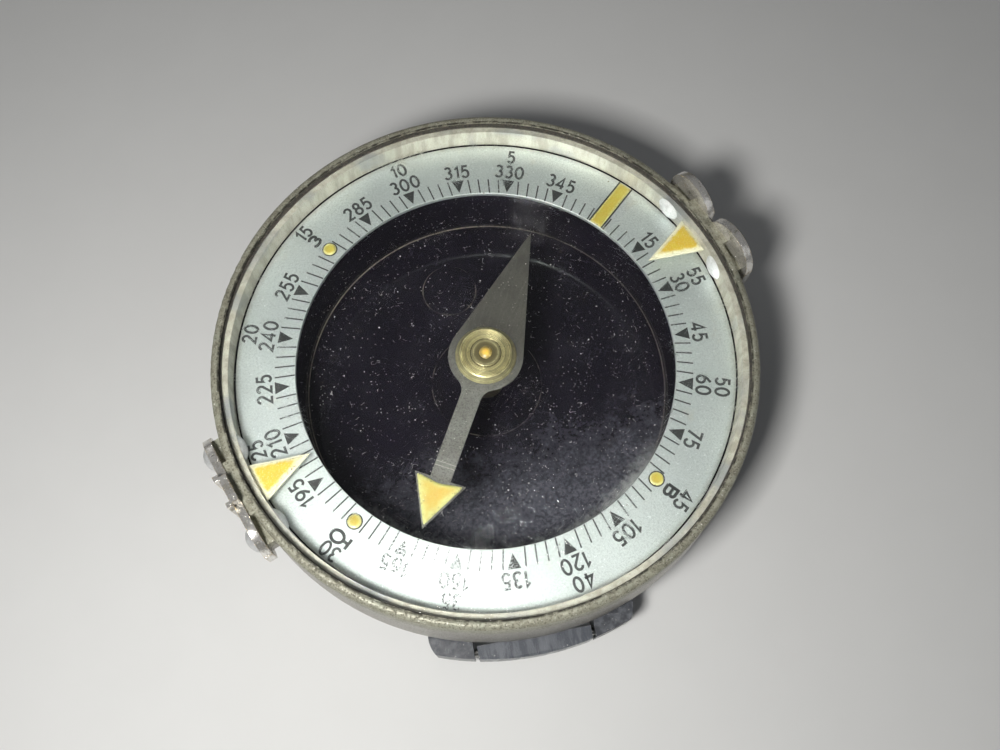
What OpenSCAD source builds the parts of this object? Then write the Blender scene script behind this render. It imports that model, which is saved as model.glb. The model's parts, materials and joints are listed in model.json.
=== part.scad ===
// Round marching compass: a moulded case with strap bars, a fixed dial, a turning
// sighting ring with its crystal, a magnetic needle and a brake that lifts it.
// +Z is up, the origin is the middle of the underside, and the front strap bar is at -Y.

/* [Turning ring] */
// Diameter of the turning ring at its rim
ring_d = 50; // [49.6:0.2:51]
// How much the ring widens towards its lower edge
ring_flare = 0.3; // [0.1:0.1:0.5]
// Height of the ring's top above the underside
ring_top = 14; // [14:0.1:15]
// Height of the ring's lower edge above the underside
ring_bottom = 6; // [5.9:0.1:6.5]
// Thickness of the crystal
crystal_t = 0.8; // [0.6:0.1:0.8]
// Direction of the front sight and front pointer
sight_angle = 21.4; // [0:0.2:60]

/* [Sights] */
// Width of a sight plate
sight_w = 12.2; // [11.8:0.2:13]
// Thickness of a sight plate
sight_t = 0.75; // [0.5:0.05:1]
// How far the sights stand above the ring
sight_rise = 1.6; // [1.2:0.1:2]

/* [Case] */
// Diameter of the case below the ring
case_d = 49; // [48.6:0.2:49.2]
// Inside diameter of the needle chamber
chamber_d = 36; // [35:0.5:36.4]
// Height of the chamber floor above the underside
floor_z = 3.9; // [3.8:0.1:4.2]
// Thickness of the bottom cover
cover_t = 0.8; // [0.7:0.05:0.9]

/* [Strap bars] */
// Reach of the strap bars from the axis
lug_r = 26.7; // [26.6:0.1:27.2]
// Width over both ears of a strap bar
lug_w = 19; // [18:0.5:20]
// Width between the two ears
bar_gap_w = 11.2; // [10.6:0.2:11.6]

/* [Dial] */
// Inside diameter of the dial
dial_in_d = 35.7; // [35:0.1:35.8]
// Outside diameter of the dial
dial_out_d = 46.8; // [46:0.1:46.8]
// Direction of the dial's zero bar
zero_angle = 43; // [0:1:359]

/* [Needle and brake] */
// Direction of the needle's plain end
needle_angle = 61.2; // [0:0.1:359]
// Length of the plain end from the pivot
needle_plain_r = 13.6; // [12:0.2:15]
// Length of the luminous end from the pivot
needle_lit_r = 17.1; // [16:0.1:17.3]
// Travel of the lifting collar
lift = 0.3; // [0.2:0.05:0.3]
// Swing of the brake lever, in degrees
brake_swing = 14; // [12:1:14]

/* [Hidden] */
$fn = 96;
eps = 0.5;              // how far a cutter runs past the face it opens
weld = 0.1;             // how far joined shapes run into each other

// Ring, from the rim inwards
ring_r = ring_d / 2;
rim_bead_r = 0.5;
top_dip = 0.05;         // the top face lies this far below the bead
skirt_h = 0.8;          // height of the straight band at the lower edge
taper_drop = 1.5;       // the taper ends this far below the top
lip_t = 0.2;
crystal_top = ring_top - lip_t;
crystal_bottom = crystal_top - crystal_t;
crystal_r = ring_r - 0.5;
lip_in_r = ring_r - 0.8;        // the lip rolled over the crystal's edge
ring_bore_r = ring_r - 1.2;
running_gap = 0.08;
seal_t = 0.15;
seal_in_r = ring_r - 0.9;
liner_in_r = ring_r - 1.45;
liner_bottom = 10.7;

// Retaining wire and its grooves
wire_z = 8;
wire_r = 0.3;
wire_path_r = ring_bore_r - 0.05;
wire_gap_deg = 24;
case_groove_r = wire_path_r - wire_r;
ring_groove_r = ring_bore_r + 0.4;
case_groove_h = 0.8;
ring_groove_h = 0.9;

// Case
case_r = case_d / 2;
case_edge_r = 1.3;
neck_r = ring_bore_r - running_gap;
neck_lip_z = 10.6;
neck_lip_r = 23.45;
dial_seat_z = 10.2;
dial_t = 0.5;
dial_top = dial_seat_z + dial_t;
shoulder_z = ring_bottom - 0.2;
chamber_r = chamber_d / 2;
floor_t = 1;
floor_under_z = floor_z - floor_t;
works_r = 15.6;         // the brake works' space under the floor
cover_r = 19.9;
cover_gap = 0.05;
wall_pocket = [19.3, 22.4, 5.2];    // inner radius, outer radius and floor height
rib_count = 8;
rib_t = 1;
rib_top = 9.6;
boss_r = 5.4;
boss_h = 0.35;
mark_r = 2.7;           // round mark moulded on the floor
mark_h = 0.2;
mark_at = [11, 101];    // its distance from the axis and direction
lever_pin_seat = 0.7;   // depth of the brake pin in the floor
window_h = 0.8;         // window that the lever's arm swings in
window_deg = [-6, 12];  // how far it reaches to each side of the lever

// Cover screws
screw_pitch_r = 17.8;
screw_angles = [20, 110, 200, 290];
screw_r = 0.7;
screw_head_r = 1.3;
screw_tip_z = 3;
screw_slot = 0.3;       // width and depth of the driver slot

// Strap bars
bar_slit = 0.35;
bar_w = bar_gap_w - 2 * bar_slit;
bar_in_y = 25;
bar_z = [1.4, 5];
bar_bevel = 0.45;
pin_y = 25.45;
pin_z = 3.2;
pin_r = 0.35;
pin_l = 12.8;
ear_corner_r = 2.7;
ear_corner_y = 23.6;
ear_root_l = 4;

// Sights, pads and rivets
pad_face = ring_r + 0.2;
pad_depth = 1.5;
pad_narrow = [5.4, 8, 13.9];        // width, lower and upper edge
pad_wide = [10.8, 10.4, 12.8];
sight_foot_z = 9.2;
foot_chamfer = 0.7;
sight_post_w = 2.6;
post_drop = 0.5;        // the front post stands this much lower than the rear sight
shoulder_r = 2.6;
shoulder_top = ring_top + 0.1;
rivet_z = 11.9;
rivet_offset = 9.2;
rivet_r = 0.6;
rivet_out = [1.3, 0.75];    // outer head: radius and height
rivet_in = [1.2, 0.45];    // inner head

// Pointers
pointer_z = 12;
pointer_t = 0.25;
pointer_tip_r = 18.3;
pointer_base_r = 23.45;
pointer_w = 3.7;
paint_inset = 0.28;
paint_t = 0.22;

// Dial marks
mark_in_r = 17.9;
zero_out_r = 23.3;
zero_w = 1.3;
dot_r = 0.62;
dot_path_r = 19.2;
dial_paint_t = 0.12;

// Needle, pivot and lifting collar
blade_z = 11.45;
blade_t = 0.2;
blade_hub_r = 3.5;
tail_w = 1.9;
tail_fillet_r = 1.5;
arrow_base_r = 12.4;
arrow_w = 4.8;
cap_bottom = 11;
cap_hub_r = 1.45;
cap_bore_r = 0.75;
cap_side = [2.85, 2.45, 12.3];      // radius at the blade, radius at the top and height of the top
cap_crown = [1.35, 12.42];          // radius and top of the raised crown round the jewel
jewel_r = 0.62;
jewel_seat_z = 11.9;
jewel_top = 12.65;
pin_tip_z = 12.15;
point_r = 0.4;
post_r = 1;
post_top = 10.7;
post_foot = 0.3;        // height of the socket's floor in the cover
pin_seat = 2.5;         // depth of the point's bore in the post
pin_cone_h = 0.9;
pin_tip_r = 0.04;
post_flange = [1.9, 0.1];
collar_r = 1.6;
collar_gap = 0.05;
collar_top = cap_bottom - 0.05;
foot_r = 3.4;
foot_z = [1.95, 2.4];
pad_path_r = 2.6;
pad_r = 0.5;

// Brake lever, in its own frame: pivot at the origin, the compass axis at +X
brake_at = [13, 145];   // the pivot's distance from the compass axis and direction
lever_z = [0.95, 1.45];
lever_pin_r = 0.9;
lever_bore_gap = 0.05;
lever_arm_w = 2.2;
lever_hub_r = 2.3;
lever_slot_r = 1.35;
lever_end = 14.2;       // reach of the outer arm from its pivot
inner_arm_w = 3.2;
fork_w = 7.2;
fork_y = [-5.6, 2];
ramp_w = 1.7;
ramp_flat = 0.7;
ramp_clear = 0.06;
knob_in = 12.3;
knob_out = 14.7;
knob_w = 5;
knob_z = [0.6, 3.4];
knob_bevel = 0.6;
grip_grooves = 3;
grip_pitch = 1.2;
grip_groove = [0.5, 0.35];          // width and depth

// ---- shared shapes ----

// A round-headed dome of base radius a and height h, standing on z = 0
module dome(a, h) {
    full_r = (a * a + h * h) / (2 * h);
    intersection() {
        translate([0, 0, h - full_r]) sphere(full_r);
        cylinder(h = 2 * h, r = 2 * a);
    }
}

// A flat ring
module washer(r_in, r_out, z0, z1) {
    translate([0, 0, z0]) difference() {
        cylinder(h = z1 - z0, r = r_out);
        translate([0, 0, -eps]) cylinder(h = z1 - z0 + 2 * eps, r = r_in);
    }
}

// Children drawn upright, with the outline's X across the plate and its Y up
module upright(x0, t) {
    translate([x0, 0, 0]) rotate([90, 0, 90]) linear_extrude(t) children();
}

// Children placed at both strap bars
module at_both_bars() {
    for (turn = [0, 180]) rotate(turn) children();
}

// Children placed along the radial axis of each of one sight's two rivets
module at_rivets() {
    for (side = [-1, 1])
        rotate(side * rivet_offset) translate([0, 0, rivet_z]) rotate([0, 90, 0]) children();
}

// ---- case ----

// Half section of the case, right of the axis
module case_section() {
    difference() {
        union() {
            square([case_r - case_edge_r, shoulder_z]);
            translate([0, case_edge_r]) square([case_r, shoulder_z - case_edge_r]);
            translate([case_r - case_edge_r, case_edge_r]) circle(case_edge_r);
            square([neck_r, dial_seat_z]);
            translate([neck_lip_r, 0]) square([neck_r - neck_lip_r, neck_lip_z]);
        }
        translate([-eps, floor_z]) square([chamber_r + eps, ring_top]);
        translate([-eps, -eps]) square([works_r + eps, floor_under_z + eps]);
        translate([-eps, -eps]) square([cover_r + cover_gap + eps, cover_t + eps]);
        translate([case_groove_r, wire_z - case_groove_h / 2]) square([eps + neck_r - case_groove_r, case_groove_h]);
        translate([wall_pocket[0], wall_pocket[2]])
            square([wall_pocket[1] - wall_pocket[0], ring_top]);
    }
}

module wall_ribs() {
    for (i = [0 : rib_count - 1])
        rotate((i + 0.5) * 360 / rib_count)
            translate([wall_pocket[0] - weld, -rib_t / 2, wall_pocket[2] - weld])
                cube([wall_pocket[1] - wall_pocket[0] + 2 * weld, rib_t, rib_top - wall_pocket[2] + weld]);
}

// Plan of the two ears at one strap bar
module ears_plan() {
    ear_w = (lug_w - bar_gap_w) / 2;
    for (side = [0, 1]) mirror([side, 0]) intersection() {
        circle(lug_r);
        translate([bar_gap_w / 2, -lug_r]) square([ear_w, lug_r]);
        union() {
            translate([bar_gap_w / 2, -lug_r]) square([ear_w - ear_corner_r, lug_r - ear_corner_y + weld]);
            translate([lug_w / 2 - ear_corner_r, -ear_corner_y]) circle(ear_corner_r);
            translate([bar_gap_w / 2, -ear_corner_y]) square([ear_w, ear_root_l]);
        }
    }
}

module strap_pin_shape() {
    translate([-pin_l / 2, -pin_y, pin_z]) rotate([0, 90, 0]) cylinder(h = pin_l, r = pin_r);
}

// The flat behind a strap bar, where the strap passes
module strap_passage() {
    translate([-bar_gap_w / 2, -case_r - eps, -eps])
        cube([bar_gap_w, case_r - neck_r + eps, shoulder_z + 2 * eps]);
}

// Window that the brake lever's arm swings in
module lever_window() {
    rotate(brake_at[1] + window_deg[0]) rotate_extrude(angle = window_deg[1] - window_deg[0])
        translate([works_r - eps, cover_t]) square([case_r - works_r + 2 * eps, window_h]);
}

module case() {
    color([0.07, 0.08, 0.09]) difference() {
        union() {
            rotate_extrude() case_section();
            wall_ribs();
            translate([0, 0, floor_z - weld]) cylinder(h = boss_h + weld, r = boss_r);
            rotate(mark_at[1]) translate([mark_at[0], 0, floor_z - weld])
                cylinder(h = mark_h + weld, r = mark_r);
            at_both_bars() difference() {
                translate([0, 0, bar_z[0]]) linear_extrude(bar_z[1] - bar_z[0]) ears_plan();
                cylinder(h = ring_top, r = case_r - 1);
            }
        }
        at_both_bars() strap_passage();
        at_both_bars() strap_pin_shape();
        lever_window();
        translate([0, 0, floor_under_z - eps])
            cylinder(h = floor_t + boss_h + 2 * eps, r = collar_r + collar_gap);
        rotate(brake_at[1]) translate([brake_at[0], 0, floor_under_z - eps])
            cylinder(h = eps + lever_pin_seat, r = lever_pin_r);
        for (a = screw_angles) rotate(a) translate([screw_pitch_r, 0, -eps])
            cylinder(h = screw_tip_z + eps, r = screw_r);
    }
}

module cover_screw() {
    cylinder(h = screw_tip_z, r = screw_r);
    cylinder(h = screw_head_r - screw_r, r1 = screw_head_r, r2 = screw_r);
}

module bottom_cover() {
    color([0.10, 0.10, 0.11]) difference() {
        cylinder(h = cover_t, r = cover_r);
        translate([0, 0, post_foot]) cylinder(h = cover_t, r = post_r);
        for (a = screw_angles) rotate(a) translate([screw_pitch_r, 0, 0]) {
            cylinder(h = screw_head_r - screw_r, r1 = screw_head_r, r2 = screw_r);
            translate([0, 0, -eps]) cylinder(h = cover_t + 2 * eps, r = screw_r);
        }
    }
}

module cover_screws() {
    color([0.60, 0.60, 0.58]) for (a = screw_angles)
        rotate(a) translate([screw_pitch_r, 0, 0]) difference() {
            cover_screw();
            translate([-screw_head_r - eps, -screw_slot / 2, -eps])
                cube([2 * screw_head_r + 2 * eps, screw_slot, eps + screw_slot]);
        }
}

// ---- strap bars ----

module strap_bar() {
    bevelled = [
        [-lug_r, bar_z[0] + bar_bevel], [-lug_r + bar_bevel, bar_z[0]], [-bar_in_y, bar_z[0]],
        [-bar_in_y, bar_z[1]], [-lug_r + bar_bevel / 2, bar_z[1]], [-lug_r, bar_z[1] - bar_bevel / 2]
    ];
    difference() {
        intersection() {
            translate([0, 0, bar_z[0]]) cylinder(h = bar_z[1] - bar_z[0], r = lug_r);
            upright(-bar_w / 2, bar_w) polygon(bevelled);
        }
        strap_pin_shape();
    }
}

module front_strap_bar() {
    color([0.11, 0.12, 0.13]) strap_bar();
}

module rear_strap_bar() {
    color([0.11, 0.12, 0.13]) rotate(180) strap_bar();
}

module strap_pins() {
    color([0.55, 0.55, 0.54]) at_both_bars() strap_pin_shape();
}

// ---- dial ----

module dial() {
    color([0.86, 0.89, 0.88]) washer(dial_in_d / 2, dial_out_d / 2, dial_seat_z, dial_top);
}

module zero_bar() {
    color([0.86, 0.68, 0.22]) rotate(zero_angle)
        translate([mark_in_r, -zero_w / 2, dial_top]) cube([zero_out_r - mark_in_r, zero_w, dial_paint_t]);
}

module cardinal_dots() {
    color([0.86, 0.68, 0.22]) for (quarter = [1 : 3])
        rotate(zero_angle - 90 * quarter) translate([dot_path_r, 0, dial_top])
            cylinder(h = dial_paint_t, r = dot_r);
}

// ---- pivot, wire and brake pin, all fixed in the case ----

module pivot_post() {
    color([0.72, 0.58, 0.30]) difference() {
        union() {
            translate([0, 0, post_foot]) cylinder(h = post_top - post_foot, r = post_r);
            translate([0, 0, cover_t]) cylinder(h = post_flange[1], r = post_flange[0]);
        }
        translate([0, 0, post_top - pin_seat]) cylinder(h = pin_seat + eps, r = point_r);
    }
}

module pivot_pin() {
    foot = post_top - pin_seat;
    cone_z = pin_tip_z - pin_cone_h;
    color([0.62, 0.63, 0.65]) {
        translate([0, 0, foot]) cylinder(h = cone_z - foot, r = point_r);
        translate([0, 0, cone_z]) cylinder(h = pin_cone_h, r1 = point_r, r2 = pin_tip_r);
    }
}

module retaining_wire() {
    color([0.55, 0.55, 0.54]) rotate(90 + wire_gap_deg / 2)
        rotate_extrude(angle = 360 - wire_gap_deg)
            translate([wire_path_r, wire_z]) circle(wire_r, $fn = 32);
}

module brake_pivot() {
    color([0.55, 0.55, 0.54]) rotate(brake_at[1]) translate([brake_at[0], 0, 0]) {
        translate([0, 0, cover_t]) cylinder(h = floor_under_z + lever_pin_seat - cover_t, r = lever_pin_r);
        translate([0, 0, lever_z[1] + lever_bore_gap])
            cylinder(h = floor_under_z - lever_z[1] - lever_bore_gap, r = 2 * lever_pin_r);
    }
}

// ---- turning ring ----

// Outline of the ring's metal, before its bores are cut
module ring_outline() {
    flare_r = ring_r + ring_flare;
    polygon([
        [0, ring_bottom], [flare_r, ring_bottom], [flare_r, ring_bottom + skirt_h],
        [ring_r, ring_top - taper_drop], [ring_r, ring_top - rim_bead_r],
        [ring_r - rim_bead_r, ring_top - top_dip], [0, ring_top - top_dip]
    ]);
    translate([ring_r - rim_bead_r, ring_top - rim_bead_r]) circle(rim_bead_r);
}

// Flat-faced pads that a sight plate is riveted against
module sight_pads() {
    for (pad = [pad_narrow, pad_wide])
        translate([pad_face - pad_depth, -pad[0] / 2, pad[1]]) cube([pad_depth, pad[0], pad[2] - pad[1]]);
}

module bezel_ring() {
    color([0.62, 0.60, 0.54]) difference() {
        union() {
            rotate_extrude() ring_outline();
            for (turn = [0, 180]) rotate(sight_angle + turn) sight_pads();
        }
        translate([0, 0, ring_bottom - eps]) cylinder(h = ring_top, r = ring_bore_r);
        translate([0, 0, liner_bottom]) cylinder(h = crystal_top - liner_bottom, r = crystal_r);
        translate([0, 0, liner_bottom]) cylinder(h = ring_top, r = lip_in_r);
        translate([0, 0, wire_z - ring_groove_h / 2]) cylinder(h = ring_groove_h, r = ring_groove_r);
        for (turn = [0, 180]) rotate(sight_angle + turn) at_rivets() cylinder(h = ring_d, r = rivet_r);
    }
}

module crystal() {
    color([0.85, 0.92, 0.92, 0.25]) translate([0, 0, crystal_bottom]) cylinder(h = crystal_t, r = crystal_r);
}

module crystal_seal() {
    color([0.16, 0.15, 0.14]) washer(seal_in_r, crystal_r, crystal_bottom - seal_t, crystal_bottom);
}

module liner_ring() {
    color([0.66, 0.64, 0.57]) difference() {
        washer(liner_in_r, crystal_r, liner_bottom, crystal_bottom - seal_t);
        for (turn = [0, 180]) rotate(sight_angle + turn) at_rivets() cylinder(h = ring_d, r = rivet_r);
    }
}

// ---- sights ----

// Foot of a sight plate, common to both
module sight_foot() {
    half = sight_w / 2;
    polygon([
        [-half, sight_foot_z + foot_chamfer], [foot_chamfer - half, sight_foot_z],
        [half - foot_chamfer, sight_foot_z], [half, sight_foot_z + foot_chamfer],
        [half, rivet_z], [-half, rivet_z]
    ]);
}

// Plate with a raised post between two ribs
module front_sight_plate() {
    sight_foot();
    for (side = [-1, 1])
        translate([side * (sight_w / 2 - shoulder_r), shoulder_top - shoulder_r]) circle(shoulder_r);
    translate([shoulder_r - sight_w / 2, sight_foot_z])
        square([sight_w - 2 * shoulder_r, shoulder_top - sight_foot_z]);
    translate([-sight_post_w / 2, sight_foot_z])
        square([sight_post_w, ring_top + sight_rise - post_drop - sight_foot_z]);
}

// Plate with two round lobes and a sighting slot
module rear_sight_plate() {
    lobe_r = sight_w / 4 - 0.02;
    lobe_z = ring_top + sight_rise - lobe_r;
    slot_w = 0.7;
    slot_bottom = ring_top - 1.2;
    difference() {
        union() {
            sight_foot();
            for (side = [-1, 1]) translate([side * sight_w / 4, lobe_z]) circle(lobe_r);
            translate([-sight_w / 2, rivet_z - weld]) square([sight_w, lobe_z - rivet_z + weld]);
            translate([-lobe_r, lobe_z - weld]) square([2 * lobe_r, ring_top - lobe_z]);
        }
        translate([-slot_w / 2, slot_bottom]) square([slot_w, 2 * lobe_r]);
    }
}

module riveted_plate() {
    difference() {
        upright(pad_face, sight_t) children();
        at_rivets() cylinder(h = ring_d, r = rivet_r);
    }
}

module front_sight() {
    rib_w = 0.5;
    rib_out = 0.4;
    color([0.60, 0.57, 0.50]) rotate(sight_angle + 180) {
        riveted_plate() front_sight_plate();
        for (side = [-1, 1])
            translate([pad_face + sight_t - weld, side * sight_post_w / 2 - rib_w / 2, pad_wide[1]])
                cube([rib_out + weld, rib_w, ring_top + sight_rise - post_drop - pad_wide[1]]);
    }
}

module rear_sight() {
    color([0.60, 0.57, 0.50]) rotate(sight_angle) riveted_plate() rear_sight_plate();
}

module sight_rivets() {
    head_seat_r = sqrt(pow(liner_in_r, 2) - pow(rivet_in[0], 2));
    head_y = (pad_face + sight_t) * tan(rivet_offset);
    color([0.84, 0.85, 0.86]) for (turn = [0, 180]) rotate(sight_angle + turn) {
        intersection() {
            at_rivets() translate([0, 0, head_seat_r]) cylinder(h = 4, r = rivet_r);
            translate([0, -sight_w / 2, 0]) cube([pad_face + sight_t + weld, sight_w, ring_top]);
        }
        at_rivets() translate([0, 0, head_seat_r]) mirror([0, 0, 1]) dome(rivet_in[0], rivet_in[1]);
        for (side = [-1, 1]) translate([pad_face + sight_t, side * head_y, rivet_z])
            rotate([0, 90, 0]) dome(rivet_out[0], rivet_out[1]);
    }
}

// ---- pointers ----

module pointer_plan(inset) {
    slope = atan2(pointer_w / 2, pointer_base_r - pointer_tip_r);
    tip = pointer_tip_r + inset / sin(slope);
    base = pointer_base_r - inset;
    polygon([[tip, 0], [base, -(base - tip) * tan(slope)], [base, (base - tip) * tan(slope)]]);
}

module pointer() {
    tab_w = 2.4;
    translate([0, 0, pointer_z]) linear_extrude(pointer_t) intersection() {
        circle(liner_in_r);
        union() {
            pointer_plan(0);
            translate([pointer_base_r - weld, -tab_w / 2]) square([ring_r - pointer_base_r, tab_w]);
        }
    }
}

module pointer_paint() {
    translate([0, 0, pointer_z + pointer_t]) linear_extrude(paint_t) pointer_plan(paint_inset);
}

module front_pointer() {
    color([0.90, 0.88, 0.74]) rotate(sight_angle + 180) pointer();
}

module rear_pointer() {
    color([0.90, 0.88, 0.74]) rotate(sight_angle) pointer();
}

module front_pointer_paint() {
    color([0.90, 0.72, 0.22]) rotate(sight_angle + 180) pointer_paint();
}

module rear_pointer_paint() {
    color([0.90, 0.72, 0.22]) rotate(sight_angle) pointer_paint();
}

// ---- needle ----

// Plan of the arrowhead at the needle's luminous end, pointing along -X
module arrow_plan(inset) {
    slope = atan2(arrow_w / 2, needle_lit_r - arrow_base_r);
    tip = needle_lit_r - inset / sin(slope);
    base = arrow_base_r + inset;
    polygon([[-tip, 0], [-base, -(tip - base) * tan(slope)], [-base, (tip - base) * tan(slope)]]);
}

module blade_plan() {
    touch = acos(blade_hub_r / needle_plain_r);
    circle(blade_hub_r);
    polygon([
        [needle_plain_r, 0],
        blade_hub_r * [cos(touch), sin(touch)],
        blade_hub_r * [cos(touch), -sin(touch)]
    ]);
    translate([-arrow_base_r - weld, -tail_w / 2]) square([arrow_base_r, tail_w]);
    for (side = [0, 1]) mirror([0, side]) tail_fillet();
    arrow_plan(0);
}

// Concave corner between the hub and one edge of the tail strip
module tail_fillet() {
    centre_y = tail_w / 2 + tail_fillet_r;
    centre_x = -sqrt(pow(blade_hub_r + tail_fillet_r, 2) - pow(centre_y, 2));
    hub_share = blade_hub_r / (blade_hub_r + tail_fillet_r);
    difference() {
        polygon([[0, 0], hub_share * [centre_x, centre_y], [centre_x, centre_y], [centre_x, 0]]);
        translate([centre_x, centre_y]) circle(tail_fillet_r);
    }
}

module needle_blade() {
    color([0.36, 0.37, 0.37]) rotate(needle_angle) translate([0, 0, blade_z])
        linear_extrude(blade_t) difference() {
            blade_plan();
            circle(cap_hub_r);
        }
}

module needle_cap() {
    color([0.74, 0.62, 0.36]) difference() {
        union() {
            translate([0, 0, cap_bottom]) cylinder(h = blade_z + blade_t - cap_bottom, r = cap_hub_r);
            translate([0, 0, blade_z + blade_t])
                cylinder(h = cap_side[2] - blade_z - blade_t, r1 = cap_side[0], r2 = cap_side[1]);
            translate([0, 0, blade_z + blade_t])
                cylinder(h = cap_crown[1] - blade_z - blade_t, r = cap_crown[0]);
        }
        translate([0, 0, cap_bottom - eps]) cylinder(h = jewel_seat_z - cap_bottom + eps, r = cap_bore_r);
        cylinder(h = ring_top, r = jewel_r);
    }
}

module needle_jewel() {
    body_top = cap_crown[1];
    cone_h = pin_tip_z + pin_tip_r - jewel_seat_z;
    color([0.85, 0.55, 0.12]) difference() {
        union() {
            translate([0, 0, jewel_seat_z]) cylinder(h = body_top - jewel_seat_z, r = jewel_r);
            translate([0, 0, body_top]) dome(jewel_r, jewel_top - body_top);
        }
        translate([0, 0, jewel_seat_z]) cylinder(h = cone_h, r1 = jewel_r - 0.1, r2 = 0.1);
    }
}

module needle_paint() {
    color([0.88, 0.66, 0.22]) rotate(needle_angle) translate([0, 0, blade_z + blade_t])
        linear_extrude(paint_t) arrow_plan(paint_inset / 2);
}

// ---- needle brake ----

module lift_collar() {
    color([0.72, 0.58, 0.30]) difference() {
        union() {
            translate([0, 0, foot_z[0]]) cylinder(h = foot_z[1] - foot_z[0], r = foot_r);
            translate([0, 0, foot_z[0]]) cylinder(h = collar_top - foot_z[0], r = collar_r);
            for (side = [-1, 1]) rotate(brake_at[1]) translate([side * pad_path_r, 0, lever_z[1] + ramp_clear])
                cylinder(h = foot_z[1] - lever_z[1] - ramp_clear, r = pad_r);
        }
        cylinder(h = ring_top, r = post_r + collar_gap);
    }
}

// Children drawn in the brake lever's own frame
module at_brake() {
    rotate(brake_at[1]) translate([brake_at[0], 0, 0]) rotate(180) children();
}

// The way the pivot post takes through the lever's fork
module fork_slot() {
    post_move = brake_at[0] * sin(brake_swing);
    translate([brake_at[0], 0]) circle(lever_slot_r);
    rotate(-brake_swing) translate([brake_at[0], 0]) circle(lever_slot_r);
    rotate(-brake_swing / 2) translate([brake_at[0] - lever_slot_r, -post_move / 2])
        square([2 * lever_slot_r, post_move]);
}

module lever_plan() {
    fork_in = brake_at[0] - fork_w / 2;
    difference() {
        union() {
            circle(lever_hub_r);
            translate([-lever_end, -lever_arm_w / 2]) square([lever_end, lever_arm_w]);
            translate([0, -inner_arm_w / 2]) square([fork_in + weld, inner_arm_w]);
            translate([fork_in, fork_y[0]]) square([fork_w, fork_y[1] - fork_y[0]]);
        }
        circle(lever_pin_r + lever_bore_gap);
        fork_slot();
    }
}

// Wedge that lifts one of the collar's pads as the lever swings
module ramp(path_r) {
    travel = path_r * sin(brake_swing);
    start = -pad_r;
    upright(path_r - ramp_w / 2 - weld, ramp_w) polygon([
        [start, lever_z[1]], [start - travel, lever_z[1] + lift],
        [start - travel - ramp_flat, lever_z[1] + lift], [start - travel - ramp_flat, lever_z[1]]
    ]);
}

module brake_lever() {
    color([0.58, 0.58, 0.56]) at_brake() difference() {
        union() {
            translate([0, 0, lever_z[0]]) linear_extrude(lever_z[1] - lever_z[0]) lever_plan();
            for (side = [-1, 1]) ramp(brake_at[0] + side * pad_path_r);
        }
        translate([0, 0, lever_z[0] - eps]) linear_extrude(2 * eps + floor_z) fork_slot();
    }
}

module brake_knob() {
    half = knob_w / 2;
    first = -(grip_grooves - 1) / 2 * grip_pitch - grip_groove[0] / 2;
    color([0.62, 0.61, 0.58]) at_brake() difference() {
        translate([0, 0, knob_z[0]]) linear_extrude(knob_z[1] - knob_z[0]) polygon([
            [-knob_in, -half], [-knob_in, half], [knob_bevel - knob_out, half],
            [-knob_out, half - knob_bevel], [-knob_out, knob_bevel - half], [knob_bevel - knob_out, -half]
        ]);
        translate([-lever_end, -lever_arm_w / 2, lever_z[0]])
            cube([lever_end, lever_arm_w, lever_z[1] - lever_z[0]]);
        for (i = [0 : grip_grooves - 1])
            translate([-knob_out - eps, first + i * grip_pitch, knob_z[0] - eps])
                cube([eps + grip_groove[1], grip_groove[0], 2 * knob_z[1]]);
    }
}

case();
bottom_cover();
cover_screws();
front_strap_bar();
rear_strap_bar();
strap_pins();
dial();
zero_bar();
cardinal_dots();
pivot_post();
pivot_pin();
retaining_wire();
brake_pivot();
bezel_ring();
crystal();
crystal_seal();
liner_ring();
front_sight();
rear_sight();
sight_rivets();
front_pointer();
rear_pointer();
front_pointer_paint();
rear_pointer_paint();
lift_collar();
needle_blade();
needle_cap();
needle_jewel();
needle_paint();
brake_lever();
brake_knob();
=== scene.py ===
"""Looks of the round marching compass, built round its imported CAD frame.

Shapes are worked out in millimetres in the CAD frame, and turned into metres when a piece is made.
"""

import json
import math

import bmesh
import bpy
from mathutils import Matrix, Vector

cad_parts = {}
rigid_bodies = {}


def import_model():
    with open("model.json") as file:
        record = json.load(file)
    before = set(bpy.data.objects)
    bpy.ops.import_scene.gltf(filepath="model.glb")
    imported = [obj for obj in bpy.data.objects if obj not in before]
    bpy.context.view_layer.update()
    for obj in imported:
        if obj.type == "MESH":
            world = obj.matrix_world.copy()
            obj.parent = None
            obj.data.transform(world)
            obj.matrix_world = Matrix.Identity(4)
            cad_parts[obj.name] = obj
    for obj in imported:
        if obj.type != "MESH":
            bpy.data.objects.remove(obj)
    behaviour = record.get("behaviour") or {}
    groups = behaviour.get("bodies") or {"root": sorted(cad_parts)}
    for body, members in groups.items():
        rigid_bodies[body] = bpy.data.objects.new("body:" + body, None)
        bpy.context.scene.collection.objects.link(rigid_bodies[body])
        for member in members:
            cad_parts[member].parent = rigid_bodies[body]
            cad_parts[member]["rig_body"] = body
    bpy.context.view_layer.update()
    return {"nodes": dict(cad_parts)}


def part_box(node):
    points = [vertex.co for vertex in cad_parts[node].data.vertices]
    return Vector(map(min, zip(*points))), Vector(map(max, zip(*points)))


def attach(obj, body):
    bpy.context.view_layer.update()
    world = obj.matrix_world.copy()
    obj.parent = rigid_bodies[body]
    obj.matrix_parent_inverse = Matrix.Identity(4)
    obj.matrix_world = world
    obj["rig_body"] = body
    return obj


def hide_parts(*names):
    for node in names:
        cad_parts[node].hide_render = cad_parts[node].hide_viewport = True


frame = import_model()

MM = 0.001
SMOOTH_ANGLE = math.radians(32)

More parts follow.
